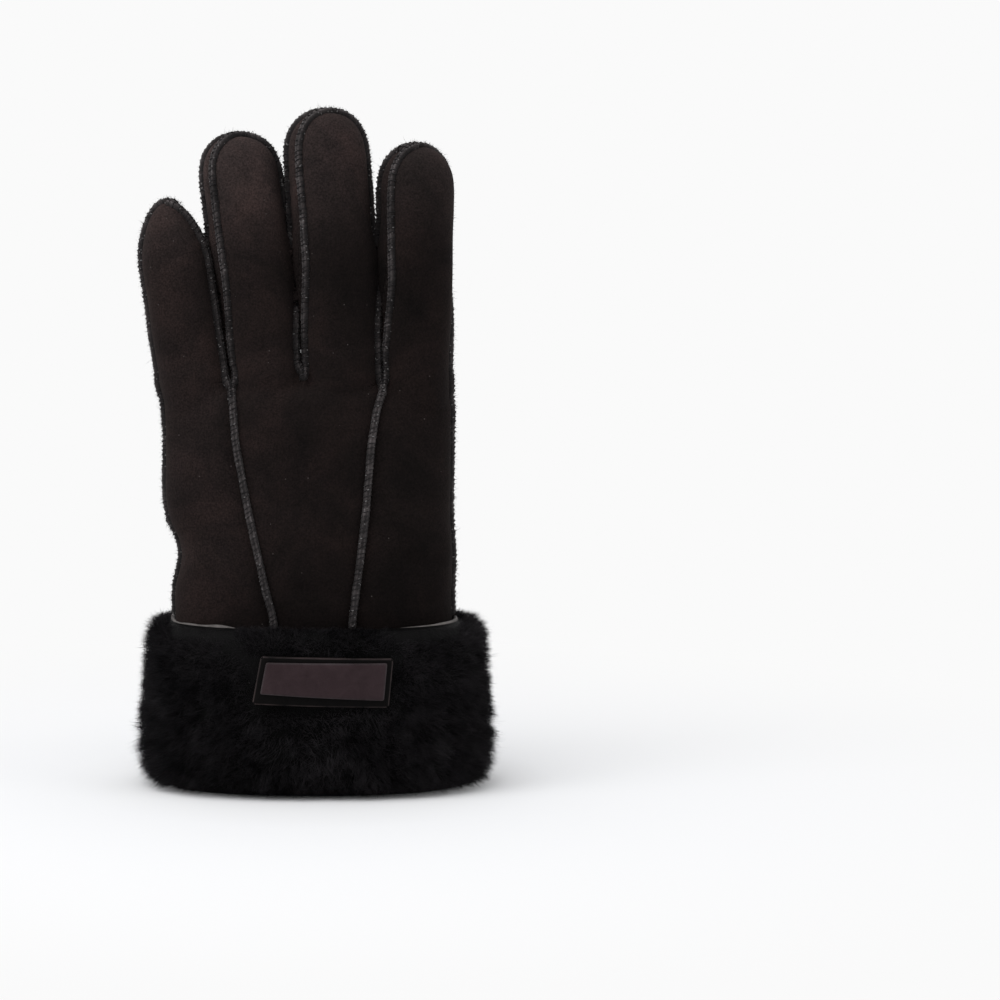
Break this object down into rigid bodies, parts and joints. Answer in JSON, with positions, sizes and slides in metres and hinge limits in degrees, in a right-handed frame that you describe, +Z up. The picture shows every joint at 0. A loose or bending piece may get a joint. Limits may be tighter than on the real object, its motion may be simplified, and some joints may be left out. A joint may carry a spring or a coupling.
{
  "type": "shearling glove",
  "caption": "Left-hand suede shearling glove, hollow, with raised overcast seams, a thumb folded over the palm and a turned-up fur cuff that it stands on.",
  "frame": {"origin": "on the standing plane, under the middle of the whole glove", "axes": "+Z up along the fingers, -Y out of the back of the hand, +Y out of the palm, -X towards the little finger"},
  "size_m": [0.1298, 0.0852, 0.25],
  "materials": {
    "suede": "napped",
    "suede_edge": "raw cut edge, overcast",
    "fur": "deep wool pile",
    "label_leather": "satin",
    "patch_leather": "satin"
  },
  "bodies": {
    "root": {"back_little": "suede", "back_middle": "suede", "back_index": "suede", "palm_little": "suede", "palm_middle": "suede", "palm_index": "suede", "palm_heel": "suede", "thumb_front": "suede", "thumb_back": "suede", "fourchette_little_ring": "suede", "fourchette_ring_middle": "suede", "fourchette_middle_index": "suede", "seam_little_back": "suede_edge", "seam_little_palm": "suede_edge", "seam_ring_back": "suede_edge", "seam_ring_palm": "suede_edge", "seam_middle_back": "suede_edge", "seam_middle_palm": "suede_edge", "seam_index_back": "suede_edge", "seam_index_palm": "suede_edge", "seam_side_little": "suede_edge", "seam_side_index": "suede_edge", "point_little": "suede_edge", "point_index": "suede_edge", "seam_palm_little": "suede_edge", "seam_palm_index": "suede_edge", "seam_thumb": "suede_edge", "seam_thumb_side": "suede_edge", "seam_heel": "suede_edge", "fur_cuff": "fur", "label_bed": "label_leather", "label_patch": "patch_leather"}
  },
  "joints": []
}
